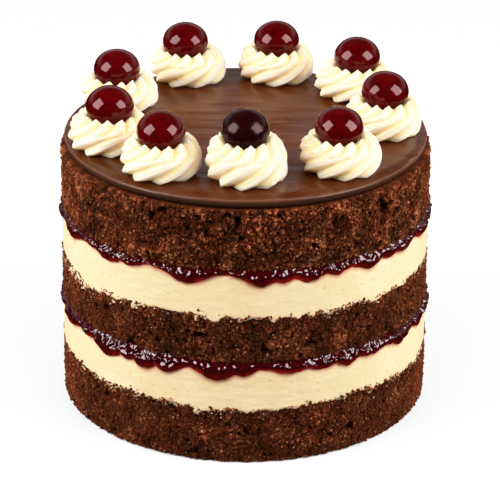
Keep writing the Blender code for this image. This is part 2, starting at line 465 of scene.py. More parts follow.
def ganache_material(name):
    """Set chocolate ganache: a satin lid with the marks of the palette knife, a painted highlight along its
    edge and painted shade darker down its wall.
    """
    material, tree, shader = new_material(name)
    wall = add_attribute(tree, "wall")
    streak = add_mottle(tree, 0.040, 0.32, 0.68, 1.2, 0.5, (1, 4.0, 2))
    cloud = add_mottle(tree, 0.030)
    tint = add_mix(tree, streak["Mask"], *GANACHE_TINTS)
    colour = add_mix(tree, 1.0, colours().ganache, tint, "MULTIPLY")
    painted_edge_share = add_ramp(tree, wall, ((0.0, grey(0)), (0.12, grey(1))))
    looks = {
        "Base Color": add_mix(tree, painted_edge_share, colour, add_ramp(tree, wall, GANACHE_EDGE_PAINTED_LIGHT_AND_SHADE)),
        "Roughness": add_mix(tree, cloud["Mask"], grey(0.25), grey(0.34)),
        "Specular IOR Level": 0.30,
        "Normal": add_bump(tree, streak["Height"], 0.0040, 0.2),
    }
    feed(tree, shader, looks)
    return material


def swirl_material(name):
    """Whipped cream, painted lighter and yellower in its grooves: painted light that lifts their shade and
    gives it a yellow tint.
    """
    material, tree, shader = new_material(name)
    cloud = add_mottle(tree, 0.0030)
    fine = add_mottle(tree, 0.0008, detail=2)
    normal = add_bump(tree, cloud["Height"], 0.0006, 0.5)
    looks = {
        "Base Color": add_mix(tree, add_attribute(tree, "groove"), colours().swirl, colours().swirl_groove_painted_light),
        "Roughness": 0.42,
        "Specular IOR Level": 0.3,
        "Subsurface Weight": 1.0,
        "Subsurface Radius": (1.0, 0.85, 0.40),
        "Subsurface Scale": 0.0050,
        "Normal": add_bump(tree, fine["Height"], 0.0002, 0.4, normal),
    }
    feed(tree, shader, looks)
    return material


CHERRY_LOW_SHINE = 0.18  # share of the shine that is left on a cherry's underside


def cherry_material(name, colour, gloss, shine, dimple):
    """A preserved cherry with a taut wet skin, less wet where it sits in the cream."""
    material, tree, shader = new_material(name)
    cloud = add_mottle(tree, 0.006)
    fine = add_mottle(tree, 0.0016, detail=2)
    feed(tree, shader, {"Specular IOR Level": shine})  # stands in where the link below is dropped
    wet = add_attribute(tree, "wet")
    looks = {
        "Base Color": add_mix(tree, cloud["Mask"], shaded(colour, 0.75), shaded(colour, 1.25)),
        "Specular IOR Level": add_mix(tree, wet, grey(CHERRY_LOW_SHINE * shine), grey(shine)),
        "Roughness": gloss,
        "Specular Tint": (1.0, 0.60, 0.60, 1),
        "Subsurface Weight": 0.3,
        "Subsurface Radius": (1.0, 0.1, 0.08),
        "Subsurface Scale": 0.003,
        "Normal": add_bump(tree, fine["Height"], 0.0004, dimple),
    }
    feed(tree, shader, looks)
    return material


# ---------------------------------------------------------------- sponges

SIDE_INSET = 0.0003  # the cake's side lies this far inside the sponges' solids, as its crumb stands out of it
SPONGE_EDGE = 0.0009  # curve of a sponge's edge where it is cut
# Each sponge's coarseness, how light and fuzzy it is, and how far its crumb hangs over the jam below
SPONGES = (
    ("sponge_bottom", 0.7, 0.86, 0.34, 0),
    ("sponge_middle", 0.8, 0.80, 0.34, 0.0012),
    ("sponge_top", 1.25, 1.04, 0.24, 0.0016),
)
FOOT_ROUGH = 0.0009  # unevenness of the crumb that hangs over
HEAD_RISE = 0.0003  # how far the crumb reaches up over the cream above
HEAD_ROUGH = 0.0010  # and how uneven it is there
# Ragged holes: (cell in metres, widest hole as a share of its cell, chance that a cell has one)
LARGE_PORES = (0.0105, 0.27, 0.50)
SMALL_PORES = (0.0062, 0.30, 0.34)
PITS = (0.0042, 0.36, 0.48)
PIT_DEPTH = 0.0014
CRUMB_CELL = 0.0030
GRAIN_CELL = 0.0013
CRUMB_SEED = 3  # without one, noise_vector starts from the clock
# How far the pattern of the crumb is bent, and over what length
CRUMB_BENDS = ((0.0018, 0.0035), (0.0006, 0.0011))
GRAIN_LEAST = 0.00020  # radius of the smallest crumb that stands out
GRAIN_SPREAD = 0.00050  # and how much more the largest one has
# Large holes in each sponge: (bearing, share of the sponge's height, half width and half height in metres)
BLOWHOLES = {
    "sponge_bottom": (
        (-22, 0.94, 0.0022, 0.0022), (-15, 0.13, 0.0045, 0.0010), (8, 0.96, 0.0024, 0.0012),
        (42, 0.88, 0.0050, 0.0013), (128, 0.62, 0.0028, 0.0020), (201, 0.35, 0.0036, 0.0014),
        (266, 0.72, 0.0022, 0.0022),
    ),
    "sponge_middle": (
        (-13, 0.55, 0.0046, 0.0017), (21, 0.30, 0.0022, 0.0012), (-47, 0.60, 0.0024, 0.0016),
        (64, 0.45, 0.0026, 0.0014), (111, 0.40, 0.0030, 0.0016), (187, 0.66, 0.0024, 0.0020),
        (243, 0.38, 0.0038, 0.0013),
    ),
    "sponge_top": (
        (-55, 0.53, 0.0026, 0.0015), (-29, 0.75, 0.0013, 0.0032), (-10, 0.79, 0.0026, 0.0011),
        (-2, 0.83, 0.0021, 0.0021), (10, 0.61, 0.0011, 0.0013), (47, 0.67, 0.0027, 0.0028),
        (53, 0.54, 0.0016, 0.0018), (96, 0.60, 0.0024, 0.0020), (139, 0.42, 0.0032, 0.0018),
        (176, 0.70, 0.0020, 0.0028), (219, 0.50, 0.0030, 0.0014), (258, 0.66, 0.0021, 0.0024),
    ),
}
BLOWHOLE_END = 1.5  # no large hole reaches past this many half widths


def sponge_side(height):
    """Radius of the cake's side at a height, from the widest and highest sponges."""
    low, _, wide = layer_box("sponge_bottom")
    _, high, narrow = layer_box("sponge_top")
    return lerp(wide, narrow, (height - low) / (high - low)) - SIDE_INSET


def round_edge(away):
    """How far the curve of a sponge's edge lies inside its side, this far from the cut."""
    if away >= SPONGE_EDGE:
        return 0.0
    return SPONGE_EDGE - sqrt(max(SPONGE_EDGE**2 - (SPONGE_EDGE - away) ** 2, 0))


def pore(spot, kind, coarse=1.0):
    """How deep a point lies in a ragged hole, from 0 outside to 1 in its middle."""
    cell, widest, chance = kind
    distances, points = noise.voronoi(spot / cell)
    luck = noise.cell_vector(points[0] * 7.3)
    if luck.x > chance * coarse:
        return 0.0
    reach = widest * (0.40 + 0.60 * luck.y)
    ragged = 1 + 0.5 * noise.noise(spot / cell * 3.1)
    return smooth_step(0.0, 0.55, 1 - (distances[0] * ragged / reach) ** 2)


def crumb_domes(spot, cell):
    """Rounded crumbs with clefts between them, from about -1 in a cleft to 1 on a crumb."""
    distances, _ = noise.voronoi(spot / cell)
    cleft = smooth_step(0.0, 0.22, distances[1] - distances[0])
    return 2 * cleft * max(0.0, 1 - (distances[0] / 0.9) ** 2) - 1


def blowhole(node, x, y, z):
    """How deep a point lies in one of a sponge's large holes, from 0 to 1."""
    low, high, wide = layer_box(node)
    turn = atan2(x, -y)
    deepest = 0.0
    for bearing, share, half_wide, half_high in BLOWHOLES[node]:
        away = (turn - radians(bearing) + pi) % (2 * pi) - pi
        across = away * wide / half_wide
        if abs(across) < BLOWHOLE_END:
            above = (z - lerp(low, high, share)) / half_high
            ragged = 1 + 0.7 * noise.noise(Vector((x, y, z)) / 0.0024)
            deepest = max(deepest, smooth_step(0.0, 0.6, 1 - (across**2 + above**2) * ragged))
    return deepest


def sponge_relief(x, y, z, node, coarse):
    """How far the crumb's surface stands out, in metres, and how light it is painted, from 0 to 1: painted
    shade in its holes and pits, painted light on the crumbs that stand out, and a broad tone that varies at
    random.
    """
    spot = Vector((x + 0.5, y + 0.5, z + 0.5))
    for shift, length in CRUMB_BENDS:
        spot += shift * Vector(noise.noise_vector(spot / length))
    broad = bump_noise(*spot, 0.010)
    domes = crumb_domes(spot, CRUMB_CELL)
    grains = crumb_domes(spot, GRAIN_CELL)
    holes = pore(spot, LARGE_PORES, coarse)
    holes = max(holes, 0.7 * pore(spot + Vector((2, 0, 0)), SMALL_PORES, coarse))
    holes = max(holes, 1.5 * blowhole(node, x, y, z))
    pits = pore(spot + Vector((1, 0, 0)), PITS)
    relief = sizes().crumb_relief * (0.45 * domes + 0.30 * grains + 0.45 * broad * coarse)
    relief -= sizes().pore_depth * holes + PIT_DEPTH * pits
    lively = 0.25 + 0.62 * coarse
    # painted shade and light: holes and pits are painted darker, the domes and grains that stand out are
    # painted lighter, and broad is a tone that varies at random
    light = 0.50 + lively * (0.23 * domes + 0.24 * grains + 0.40 * broad) - 0.95 * holes - 0.70 * pits
    return relief, min(max(light, 0.0), 1.0)


def build_sponge(node, material, coarse, overhang):
    """A sponge's whole skin, with a ragged foot and head where it meets the jam and the cream."""
    low, high, _ = layer_box(node)
    step = sizes().crumb_step
    around = round(2 * pi * sponge_side(low) / step)
    rings = round((high - low) / step) + 1
    top = node == "sponge_top"
    salt = low * 30

    def side(turn, share):
        foot = low
        head = high
        if overhang:
            foot -= overhang + FOOT_ROUGH * ring_noise(turn, salt, 26, 4)
        if not top:
            head += HEAD_RISE + HEAD_ROUGH * ring_noise(turn, salt, 31, 4)
        height = lerp(foot, head, share)
        reach = sponge_side(height)
        inset = max(round_edge(height - foot), round_edge(high - height) if top else 0.0)
        relief, light = sponge_relief(*ring_point(turn, reach), height, node, coarse)
        return *ring_point(turn, reach + (relief - inset)), height, light

    inner = 0.95 * sponge_side(low)
    # the relief mark stores the painted shade and light of the crumb
    bm = wrapped_layer(around, rings, low, high, inner, side, "relief", (0.5, 0.3))
    mesh_piece(node + "_crumb", bm, material, (node,))


def scattered(name, places, material, marks="relief"):
    """Many small crumbs joined as one piece. Each place is (middle, radius, value stored on its points)."""
    seed = bmesh.new()
    bmesh.ops.create_icosphere(seed, subdivisions=1, radius=1.0)
    count = len(seed.verts)
    template = bpy.data.meshes.new(name + "_seed")
    seed.to_mesh(template)
    seed.free()
    bm = bmesh.new()
    mark = bm.verts.layers.float.new(marks)
    for _ in places:
        bm.from_mesh(template)
    for i, vert in enumerate(bm.verts):
        middle, radius, value = places[i // count]
        lump = 1 + 0.55 * noise.noise(vert.co * 1.3 + middle * 900)
        vert.co = middle + vert.co * lump * radius
        vert[mark] = value
    bpy.data.meshes.remove(template)
    bmesh.ops.recalc_face_normals(bm, faces=bm.faces)
    mesh_piece(name, bm, material, ())


def build_grains(node, material, coarse, overhang, seed):
    """The crumbs that stand out of a sponge's side, most of them where the crumb is painted light."""
    low, high, _ = layer_box(node)
    draw = Random(seed)
    places = []
    while len(places) < sizes().side_crumbs:
        height = draw.uniform(low + 0.0003 - overhang, high)
        turn = draw.uniform(-pi, pi)
        reach = sponge_side(height)
        relief, light = sponge_relief(*ring_point(turn, reach), height, node, coarse)
        if draw.random() > 0.25 + light:
            continue
        radius = GRAIN_LEAST + GRAIN_SPREAD * draw.random() ** 2.5
        reach += relief - 0.1 * radius
        middle = Vector((*ring_point(turn, reach), max(height, radius * 1.5)))
        places.append((middle, radius, min(max(light + draw.uniform(-0.35, 0.50), 0.0), 1.0)))
    scattered(node + "_grains", places, material)


class CAKE_OT_sponges(bpy.types.Operator):
    """Builds the three sponges with their pores and crumb"""

    bl_idname = "cake.sponges"
    bl_label = "Sponges"

    def execute(self, context):
        noise.seed_set(CRUMB_SEED)
        for seed, (node, coarse, shade, fuzz, overhang) in enumerate(SPONGES):
            material = sponge_material(node + "_crumb", shade, fuzz)
            build_sponge(node, material, coarse, overhang)
            build_grains(node, material, coarse, overhang, seed)
        return {"FINISHED"}


# ---------------------------------------------------------------- jam

# Runs of jam over the cream: (bearing, half width in degrees, drop in metres)
UPPER_RUNS = (
    (-66, 6, 0.0044), (-45, 6, 0.0043), (-37, 5, 0.0023), (-17, 7, 0.0046), (5, 6, 0.0050), (11, 5, 0.0032),
    (20, 5, 0.0044), (29, 4, 0.0032), (41, 5, 0.0045), (49, 5, 0.0030), (57, 5, 0.0043),
)
LOWER_RUNS = (
    (-69, 8, 0.0037), (-57, 6, 0.0024), (-46, 6, 0.0066), (-38, 5, 0.0039), (-31, 5, 0.0061),
    (-24, 5, 0.0052), (-8, 6, 0.0057), (0, 4, 0.0036), (14, 8, 0.0032), (24, 6, 0.0028), (33, 4, 0.0040),
    (43, 6, 0.0031),
)
HIDDEN_RUNS = 17
# Where the jam has run almost dry: (bearing, half width in degrees, rise of its edge in metres)
JAM_DRY = {
    "jam_lower": ((7, 4, 0.0010), (-78, 4, 0.0008), (98, 6, 0.0012), (214, 5, 0.0010)),
    "jam_upper": ((-6, 5, 0.0016), (-29, 4, 0.0008), (121, 5, 0.0012), (203, 6, 0.0014)),
}
JAM_THICK = {"jam_lower": 0.0044, "jam_upper": 0.0040}
JAM_ROUGH = 0.0007  # unevenness of its edge
JAM_GRID = (1100, 26)  # points round the cake, and rings from the foot to the head
JAM_FLAT = 0.0022  # the flats end this far inside the side
FULL_RUN = 0.008  # height of a run that is full
EDGE_LAP = 0.0002  # how far an edge of jam or cream laps down over what is below


def all_runs(front_runs, seed):
    """The runs in front, and drawn ones for the rest of the way round."""
    draw = Random(seed)
    first = front_runs[-1][0]
    last = front_runs[0][0] + 360
    step = (last - first) / (HIDDEN_RUNS + 1)
    runs = list(front_runs)
    for i in range(HIDDEN_RUNS):
        bearing = first + step * (i + 1) + draw.uniform(-3, 3)
        runs.append((bearing, draw.uniform(4, 8), draw.uniform(0.0018, 0.0050)))
    return runs


JAM_RUNS = {"jam_lower": all_runs(LOWER_RUNS, 11), "jam_upper": all_runs(UPPER_RUNS, 5)}


def run_drop(bearing, runs):
    """Drop of the deepest of some runs at a bearing."""
    drop = 0.0
    for centre, half_width, depth in runs:
        away = (bearing - centre + 180) % 360 - 180
        drop = max(drop, depth * exp(-((away / half_width) ** 2)))
    return drop


def jam_foot(node, bearing):
    """Height of the jam's lower edge at a bearing."""
    low = BOXES[node][1].z - JAM_THICK[node]
    ragged = ring_noise(radians(bearing), low * 40, 13, 3)
    runs = run_drop(bearing, JAM_RUNS[node])
    dry = run_drop(bearing, JAM_DRY[node])
    return low - EDGE_LAP - runs + dry + JAM_ROUGH * ragged


def build_jam(node, material):
    """A layer of jam whose rim bulges out in runs, smooth at the foot and rippled in clusters above."""
    _, high, _ = layer_box(node)
    low = high - JAM_THICK[node]
    radius = sponge_side(low)

    def side(turn, share):
        foot = jam_foot(node, degrees(turn))
        height = lerp(foot, high, share)
        x, y = ring_point(turn, radius)
        full = min((high - foot) / FULL_RUN, 1.15)
        belly = sqrt(1 - (1 - min(share / 0.30, 1)) ** 2) * smooth_step(1.15, 0.55, share)
        cluster = 0.60 + 0.90 * smooth_step(-0.25, 0.35, bump_noise(x, y, 5, 0.014, 1))
        ripple = lerp(0.12, 1.15 * cluster, smooth_step(0.35, 0.65, share))
        lump = 0.85 * bump_noise(x, y, height, 0.0052, 1)
        lump += ripple * bump_noise(x, y, height + 2, 0.0019, 1)
        swell = sizes().jam_swell * (1.05 * full - 0.10 + lump)
        tuck = 0.0008 * smooth_step(0.6, 1.0, share)
        reach = radius - 0.0006 + belly * max(0.0010 + swell, 0.0008) - tuck
        patch = smooth_step(-0.05, 0.35, bump_noise(x, y, 0, 0.009, 2))
        thin = smooth_step(0.52, 0.0, share) * (0.35 + 0.65 * patch) * smooth_step(1.6, 0.5, full)
        return *ring_point(turn, reach), height, thin

    bm = wrapped_layer(*JAM_GRID, low, high, radius - JAM_FLAT, side, "thin")
    mesh_piece(node + "_glaze", bm, material, (node,))


class CAKE_OT_jams(bpy.types.Operator):
    """Builds the two layers of cherry jam with their runs"""

    bl_idname = "cake.jams"
    bl_label = "Jams"

    def execute(self, context):
        material = jam_material("cherry_jam")
        for node in JAM_THICK:
            build_jam(node, material)
        return {"FINISHED"}


# ---------------------------------------------------------------- creams

# Where the knife has drawn cream down over the sponge: (bearing, half width in degrees, drop in metres)
UPPER_SMEARS = (
    (-66, 22, 0.0044), (-44, 6, 0.0012), (-9, 2.2, 0.0022), (-1, 1.6, 0.0020), (9, 1.5, 0.0022),
    (16, 2.0, 0.0024), (21, 1.2, 0.0020), (27, 4, 0.0016), (43, 5, 0.0020), (57, 5, 0.0018), (76, 8, 0.0016),
    (130, 20, 0.0030), (205, 16, 0.0024),
)
LOWER_SMEARS = (
    (-84, 14, 0.0026), (-47, 5, 0.0014), (-14, 8, 0.0010), (3, 10, 0.0008), (50, 9, 0.0012), (72, 12, 0.0022),
    (118, 12, 0.0022), (170, 18, 0.0028),
)
# Where a lump of crumb bites up into the cream
UPPER_BITES = ((18, 3, 0.0008), (-25, 4, 0.0006), (100, 4, 0.0012), (228, 4, 0.0012))
LOWER_BITES = ((-23, 3, 0.0018), (8, 2, 0.0012), (38, 5, 0.0014), (150, 4, 0.0012), (240, 5, 0.0014))
CREAM_EDGES = {"cream_upper": (UPPER_SMEARS, UPPER_BITES), "cream_lower": (LOWER_SMEARS, LOWER_BITES)}
CREAM_GRID = (1300, 54)  # points round the cake, and rings from the foot to the head
CREAM_FLAT = 0.003  # the flats end this far inside the side
SMEAR_TAIL = 0.0034  # height over which the cream thins out below its edge, behind the crumb
HEM_ROUGH = (0.0003, 0.0013)  # unevenness of the edge, along its clean stretches and its ragged ones


def cream_foot(node, bearing):
    """Height of the cream's ragged lower edge at a bearing."""
    low = BOXES[node][0].z
    smears, bites = CREAM_EDGES[node]
    turn = radians(bearing)
    salt = low * 50
    rough = lerp(*HEM_ROUGH, smooth_step(-0.35, 0.45, ring_noise(turn, salt, 3.5, 2)))
    ragged = 0.0004 * ring_noise(turn, salt, 2, 2) + rough * ring_noise(turn, salt, 20, 5)
    return low - EDGE_LAP - run_drop(bearing, smears) + run_drop(bearing, bites) + ragged


def build_cream(node, jam, material):
    """A band of cream, stained along the jam above, with a thin tail that clings to the sponge below."""
    low, high, _ = layer_box(node)
    radius = sponge_side(low)

    def side(turn, share):
        bearing = degrees(turn)
        hem = cream_foot(node, bearing)
        height = lerp(hem - SMEAR_TAIL, high, share)
        x, y = ring_point(turn, radius)
        broad = bump_noise(x, y, height, 0.020, 2)
        fine = bump_noise(x, y, height, 0.0030, 4)
        clinging = smooth_step(0.0, 0.7, bump_noise(x, y, 9, 0.010, 2))
        tail = smooth_step(0.0002, -SMEAR_TAIL, height - hem)
        reach = radius + 0.0002 + 0.0004 * broad + 0.0001 * fine
        reach -= tail * (0.0024 - 0.0014 * fine - 0.0022 * clinging)
        edge = jam_foot(jam, bearing)
        reach -= 0.0014 * smooth_step(edge - 0.0008, edge + 0.0022, height)
        patch = smooth_step(-0.5, 0.5, bump_noise(x, y, 0, 0.012, 2))
        spread = smooth_step(0.0008 + 0.0018 * patch, -0.0004, edge - height)
        rubbed = tail * smooth_step(-0.2, 0.5, fine)
        return *ring_point(turn, reach), height, max(0.75 * spread, 0.45 * rubbed)

    bm = wrapped_layer(*CREAM_GRID, low, high, radius - CREAM_FLAT, side, "stain")
    mesh_piece(node + "_band", bm, material, (node,))


def scatter_along_hems(seed, count, spread, sizes_mm, values, dragged=0.0):
    """Places close to the creams' lower edges, for scattered. spread is how far they lie above the edge and
    below it, in metres. sizes_mm and values hold the least and the greatest radius and stored value. dragged
    is how much more of them lie where the knife has drawn the cream down."""
    draw = Random(seed)
    places = []
    while len(places) < count:
        node = draw.choice(("cream_lower", "cream_upper"))
        low, high, _ = layer_box(node)
        bearing = draw.uniform(-180, 180)
        turn = radians(bearing)
        thick = noise.fractal(Vector((sin(turn) * 9, cos(turn) * 9, low * 50 + seed)), 1.0, 2.0, 2)
        drag = dragged * run_drop(bearing, CREAM_EDGES[node][0])
        chance = 0.42 - 0.22 * min(dragged, 1) + 1.8 * thick + drag
        if draw.random() > chance:
            continue
        above = draw.random() < 0.5
        if above:
            away = draw.expovariate(1 / spread[0])
        else:
            away = -draw.expovariate(1 / spread[1]) * (1 + 2 * drag)
        height = min(cream_foot(node, bearing) + away, high - 0.004)
        radius = MM * lerp(*sizes_mm, draw.random() ** 2.5) * (0.55 if away > 0.0025 else 1)
        reach = sponge_side(low) + (0.0002 if above else 0.0001) + 0.2 * radius
        places.append((Vector((*ring_point(turn, reach), height)), radius, draw.uniform(*values)))
    return places


def build_loose_crumbs():
    """Crumbs of sponge rubbed into the cream, most of them close to its lower edge."""
    places = scatter_along_hems(21, sizes().loose_crumbs, (0.0006, 0.0003), (0.25, 1.05), (0.35, 1.0))
    scattered("loose_crumbs", places, sponge_material("loose_crumbs", 1.0, 0.2))


def build_flecks(material):
    """Flecks of cream caught in the crumb under the creams' lower edges."""
    places = scatter_along_hems(8, sizes().flecks, (0.0002, 0.0008), (0.15, 0.50), (0.1, 0.8), 300.0)
    scattered("cream_flecks", places, material, "stain")


class CAKE_OT_creams(bpy.types.Operator):
    """Builds the two bands of cream between the sponges"""

    bl_idname = "cake.creams"
    bl_label = "Creams"

    def execute(self, context):
        material = cream_material("cream_filling")
        build_cream("cream_lower", "jam_lower", material)
        build_cream("cream_upper", "jam_upper", material)
        build_loose_crumbs()
        build_flecks(material)
        return {"FINISHED"}


# ---------------------------------------------------------------- ganache

LID_AROUND = 400  # points round the lid, and the rings of its wall, its edge's curve and its flat top
WALL_RINGS = 6
CURVE_RINGS = 12
FLAT_RINGS = 70
LIP_REACH = 0.0055  # width of the slope beside the edge
WALL_TUCK = 0.0020  # how far the wall draws in at its foot
# The wall mark runs from 0 on the flat, over these at the inner and outer end of the curve, to 1 at the foot
INNER_MARK = 0.22
OUTER_MARK = 0.50
# A low bead beside the edge: its height, how far it lies inside the wall, and its half width
BEAD = (0.00022, 0.0016, 0.0006)


def build_ganache(material):
    """The lid: its wall, the curve of its edge, and a top that slopes down to that edge."""
    low, high, side = layer_box("ganache")
    curve = sizes().rim_curve
    lip = high - sizes().rim_drop
    outside = 1 + WALL_RINGS + CURVE_RINGS
    bead_height, bead_place, bead_width = BEAD

    def place(turn, index):
        if index == 0:
            return 0, 0, low, 1.0
        wave = 0.0004 * ring_noise(turn, 0, 3, 2) + 0.00012 * ring_noise(turn, 0, 22, 2)
        if index <= 1 + WALL_RINGS:
            share = (index - 1) / WALL_RINGS
            reach = side + wave - WALL_TUCK * (1 - share) ** 2
            height = lerp(low, lip - curve, share)
            wall = lerp(1.0, OUTER_MARK, share)
        elif index <= outside:
            angle = pi / 2 * (index - 1 - WALL_RINGS) / CURVE_RINGS
            reach = side + wave - curve * (1 - cos(angle))
            height = lip - curve * (1 - sin(angle))
            wall = lerp(OUTER_MARK, INNER_MARK, angle / (pi / 2))
        else:
            share = 1 - (index - outside) / FLAT_RINGS
            reach = (side + wave - curve) * share**1.4
            inside = side - curve - reach
            height = high - (high - lip) * smooth_step(LIP_REACH, 0.0, inside) ** 1.5
            # the wall mark brings in the edge's painted colours: a lighter slope, then the painted highlight
            # and the painted shade of the wall
            wall = 0.13 * smooth_step(0.0140, 0.0008, inside)
            wall += 0.09 * smooth_step(0.0009, 0.0, inside)
        x, y = ring_point(turn, reach)
        if index >= outside:
            height += 0.00010 * bump_noise(x, y * 3, 0, 0.02) - 0.0001
            height += bead_height * exp(-(((side - reach - bead_place) / bead_width) ** 2))
        return x, y, height, wall

    bm = wrapped_grid(LID_AROUND, outside + FLAT_RINGS, place, "wall")
    mesh_piece("ganache_lid", bm, material, ("ganache",))


class CAKE_OT_ganache(bpy.types.Operator):
    """Builds the chocolate lid with its round edge"""

    bl_idname = "cake.ganache"
    bl_label = "Ganache"

    def execute(self, context):
        build_ganache(ganache_material("ganache"))
        return {"FINISHED"}


# ---------------------------------------------------------------- swirls and cherries

# Turn of each swirl's ridges in degrees, and sideways lean of its top and its cherry in metres
SWIRLS = {
    "front": (-5, -0.0009),
    "front_right": (4, -0.0009),
    "right": (-14, 0.0012),
    "right_back": (9, 0.0021),
    "back": (-3, 0.0),
    "back_left": (15, -0.0016),
    "left_back": (-9, -0.0016),
    "left": (7, 0.0009),
    "front_left": (0, 0.0),
}
# Crest of a ridge: (share of the height, share of the radius, depth of the groove beside it in metres)
SWIRL_PROFILE = (
    (0.00, 0.90, 0.0044),
    (0.10, 0.97, 0.0037),
    (0.30, 0.99, 0.0021),
    (0.52, 0.98, 0.0015),
    (0.72, 0.93, 0.0016),
    (0.88, 0.82, 0.0016),
    (1.00, 0.67, 0.0011),
)
SWIRL_RADIUS = 0.0192
SWIRL_AROUND = 216  # points round a swirl, and the rings up its side and down its seat
SWIRL_RINGS = 84
SEAT_RINGS = 12
SEAT_GAP = 0.0003  # between a cherry and its seat
LOW_RIDGES = 9
PEAKS = 13
LOW_BEND = 97  # degrees that a lower ridge turns over the whole height
PEAK_BEND = 50  # and an upper one
PEAK_TURN = 26  # degrees that the upper ridges start ahead of the lower ones
RIDGE_STRAY = 5  # degrees that a ridge may wander
FINE_RIDGE = 0.14  # height of the fine ridges that the nozzle leaves, as a share of a ridge
UNDERSIDE = 0.44  # share of a ridge's width that its steep underside takes


def ridge_shape(turn, count, roundness):
    """How far a ridge stands out, from 0 in the groove to 1 on the crest, at a turn from its crest."""
    part = turn * count / (2 * pi) % 1
    away = part / UNDERSIDE if part < UNDERSIDE else (1 - part) / (1 - UNDERSIDE)
    return 1 - min(away, 1.0) ** roundness


def swirl_ridge(angle, share, salt):
    """The ridges at an angle about the swirl and a share of its height: broad ones low down, which give way
    to steep ones that end in peaks."""
    wander = noise.noise(salt + Vector((sin(angle), cos(angle), share)) * 1.2)
    stray = radians(RIDGE_STRAY) * wander
    low_bend = radians(LOW_BEND * share + 55 * max(share - 0.45, 0) ** 2)
    high_bend = radians(PEAK_BEND * share + PEAK_TURN)
    low = ridge_shape(angle + stray - low_bend, LOW_RIDGES, lerp(1.0, 2.1, min(share * 2.1, 1)))
    high = ridge_shape(angle + stray - high_bend, PEAKS, lerp(2.0, 1.0, smooth_step(0.6, 1.0, share)))
    low *= smooth_step(0.80, 0.56, share)
    high *= smooth_step(0.50, 0.74, share)
    fine = ridge_shape(angle + 2 * stray - low_bend, 4 * LOW_RIDGES, 1.2)
    return max(low, high) + FINE_RIDGE * fine * smooth_step(0.05, 0.25, share)


def build_swirl(where, material):
    """A piped swirl that leans a little, with a seat in its top for its cherry."""
    low, high = BOXES["rosette_" + where]
    cherry_low, cherry_high = BOXES["cherry_" + where]
    turned, lean = SWIRLS[where]
    cherry = (cherry_low + cherry_high) / 2
    x0, y0 = cherry.x - lean, cherry.y
    height = high.z - low.z
    seat_wide = (cherry_high.x - cherry_low.x) / 2 + SEAT_GAP
    seat_deep = (cherry_high.z - cherry_low.z) / 2 + SEAT_GAP
    lift = cherry.z - low.z
    salt = Vector((x0, y0, 0)) * 90
    drop = sizes().groove_drop

    def place(turn, index):
        if index == 0:
            return x0, y0, low.z, 0
        share = min((index - 1) / (SWIRL_RINGS - 1), 1.0)
        ridge = swirl_ridge(turn - radians(turned), share, salt)
        if index <= SWIRL_RINGS:
            wide, groove = along_profile(SWIRL_PROFILE, share)
            uneven = 0.03 * noise.noise(salt + Vector((sin(turn), cos(turn), share * 2)) * 1.3)
            reach = wide * SWIRL_RADIUS * (1 + uneven) - groove * (1 - ridge)
            rise = share * height - drop * smooth_step(0.55, 1.0, share) * (1 - ridge)
            middle = x0 + lean * share**2
            # marks the grooves for the painted light of the swirl's material
            tone = max(1 - ridge, 0)
        else:
            part = 1 - (index - SWIRL_RINGS) / SEAT_RINGS
            rim_rise = height - drop * (1 - ridge)
            angle = part * 0.98 * (pi / 2 - (lift - rim_rise) / seat_deep)
            reach = seat_wide * sin(angle)
            rise = lift - seat_deep * cos(angle)
            middle = x0 + lean
            tone = 0.3
        return middle + reach * sin(turn), y0 - reach * cos(turn), low.z + rise, tone

    bm = wrapped_grid(SWIRL_AROUND, SWIRL_RINGS + SEAT_RINGS, place, "groove")
    bmesh.ops.smooth_vert(bm, verts=bm.verts, factor=0.5, use_axis_x=True, use_axis_y=True, use_axis_z=True)
    mesh_piece("swirl_" + where, bm, material, ("rosette_" + where,))


def build_cherry(where, material):
    """A cherry, marked as wet except where it sits in its swirl."""
    low, high = BOXES["cherry_" + where]
    middle = (low + high) / 2
    half = (high - low) / 2
    bm = bmesh.new()
    bmesh.ops.create_icosphere(bm, subdivisions=5, radius=1.0)
    salt = Vector((middle.x, middle.y, 0)) * 70
    wet = bm.verts.layers.float.new("wet")
    for vert in bm.verts:
        vert[wet] = smooth_step(-0.35, 0.15, vert.co.z)
        lump = 1 + 0.012 * noise.noise(vert.co * 1.4 + salt)
        vert.co = Vector((vert.co.x * half.x, vert.co.y * half.x, vert.co.z * half.z)) * lump + middle
    mesh_piece("fruit_" + where, bm, material, ("cherry_" + where,))


class CAKE_OT_swirls(bpy.types.Operator):
    """Builds the nine piped swirls of cream"""

    bl_idname = "cake.swirls"
    bl_label = "Swirls"

    def execute(self, context):
        material = swirl_material("piped_cream")
        for where in SWIRLS:
            build_swirl(where, material)
        return {"FINISHED"}


class CAKE_OT_cherries(bpy.types.Operator):
    """Builds the nine cherries"""

    bl_idname = "cake.cherries"
    bl_label = "Cherries"

    def execute(self, context):
        red = cherry_material("cherry_red", colours().cherry, 0.08, 0.54, 0.08)
        black = cherry_material("cherry_black", colours().cherry_black, 0.13, 0.31, 0.40)
        for where in SWIRLS:
            build_cherry(where, black if where == "front" else red)
        return {"FINISHED"}


# ---------------------------------------------------------------- stage

CAMERA_DISTANCE = 1.29896
CAMERA_RISE = radians(24.15)
CAMERA_AIM = Vector((0.00256, 0.0, 0.07069))
CAMERA_ROLL = 0.0082
CAMERA_LENS = 188.13
LIGHT_AIM = Vector((0, 0, 0.12))
LIGHT_DISTANCE = 1.3
LIGHT_WIDTH = 0.90
LIGHT_LENGTH = 1.06
# Two softboxes, mirrored, that the gloss shows: (bearing, rise and turn about its own axis in degrees, power)
SOFTBOX = (65, 29, 12, 24.0)
